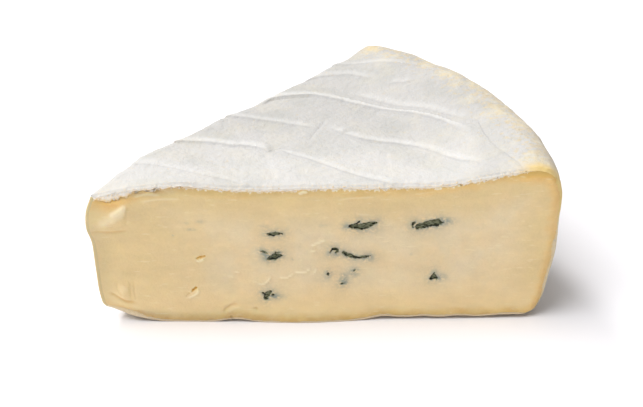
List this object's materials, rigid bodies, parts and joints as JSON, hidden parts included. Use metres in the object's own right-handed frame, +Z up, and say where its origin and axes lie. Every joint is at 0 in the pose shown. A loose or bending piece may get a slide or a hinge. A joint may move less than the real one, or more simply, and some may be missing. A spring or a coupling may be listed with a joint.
{
  "type": "wedge of soft blue cheese",
  "caption": "Wedge of soft blue cheese cut from a round wheel, with a folded white rind on top, a curved rim and mould-lined hollows in the pale cut faces.",
  "frame": {"origin": "centre of the footprint of the wedge's bounding box, on the surface it lies on", "axes": "+X runs along the front cut face from the point of the wedge towards the rim, +Y runs back into the wedge, +Z is up, along the axis of the wheel it was cut from"},
  "size_m": [0.1204, 0.0894, 0.0438],
  "materials": {
    "cheese": "soft cream paste under a matt white bloomy rind"
  },
  "bodies": {
    "root": {"cheese_wedge": "cheese"}
  },
  "joints": []
}
